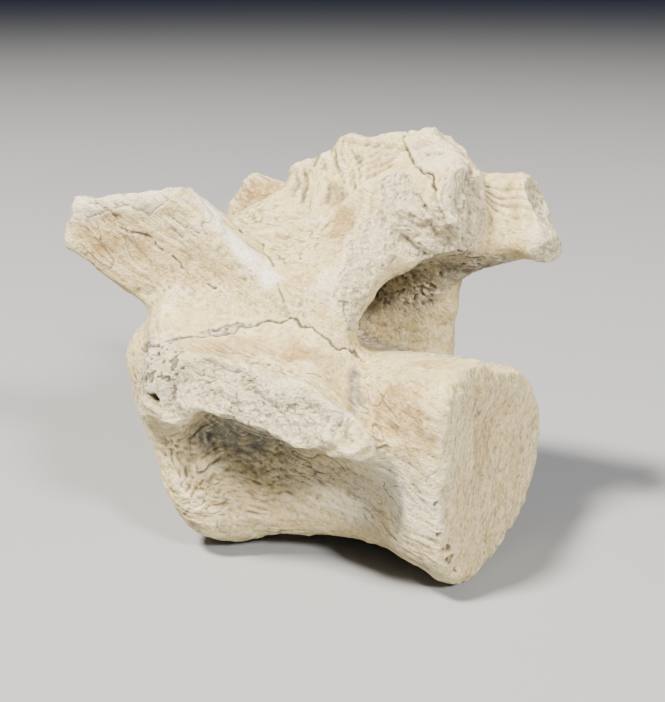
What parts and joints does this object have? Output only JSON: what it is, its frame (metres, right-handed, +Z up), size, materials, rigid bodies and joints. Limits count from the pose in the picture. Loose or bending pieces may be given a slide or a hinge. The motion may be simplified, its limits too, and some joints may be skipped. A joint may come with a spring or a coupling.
{
  "type": "fossil vertebra",
  "caption": "Fossil lumbar vertebra of a brontothere: a waisted body, an arch over the canal for the spinal cord, and processes that are broken off short.",
  "frame": {"origin": "on the surface it rests on, below the middle of its bounding box", "axes": "+X towards the animal's tail along the body of the vertebra, +Y towards the animal's right side, +Z up"},
  "size_m": [0.1282, 0.1138, 0.12],
  "materials": {
    "fossil_bone": "matt to satin cream fossil bone with warm brown stains, grey rough breaks and fine dark cracks"
  },
  "bodies": {
    "root": {"centrum": "fossil_bone", "pedicle_left": "fossil_bone", "pedicle_right": "fossil_bone", "lamina": "fossil_bone", "neural_spine": "fossil_bone", "prezygapophysis_left": "fossil_bone", "prezygapophysis_right": "fossil_bone", "postzygapophysis_left": "fossil_bone", "postzygapophysis_right": "fossil_bone", "transverse_process_left": "fossil_bone", "transverse_process_right": "fossil_bone"}
  },
  "joints": []
}
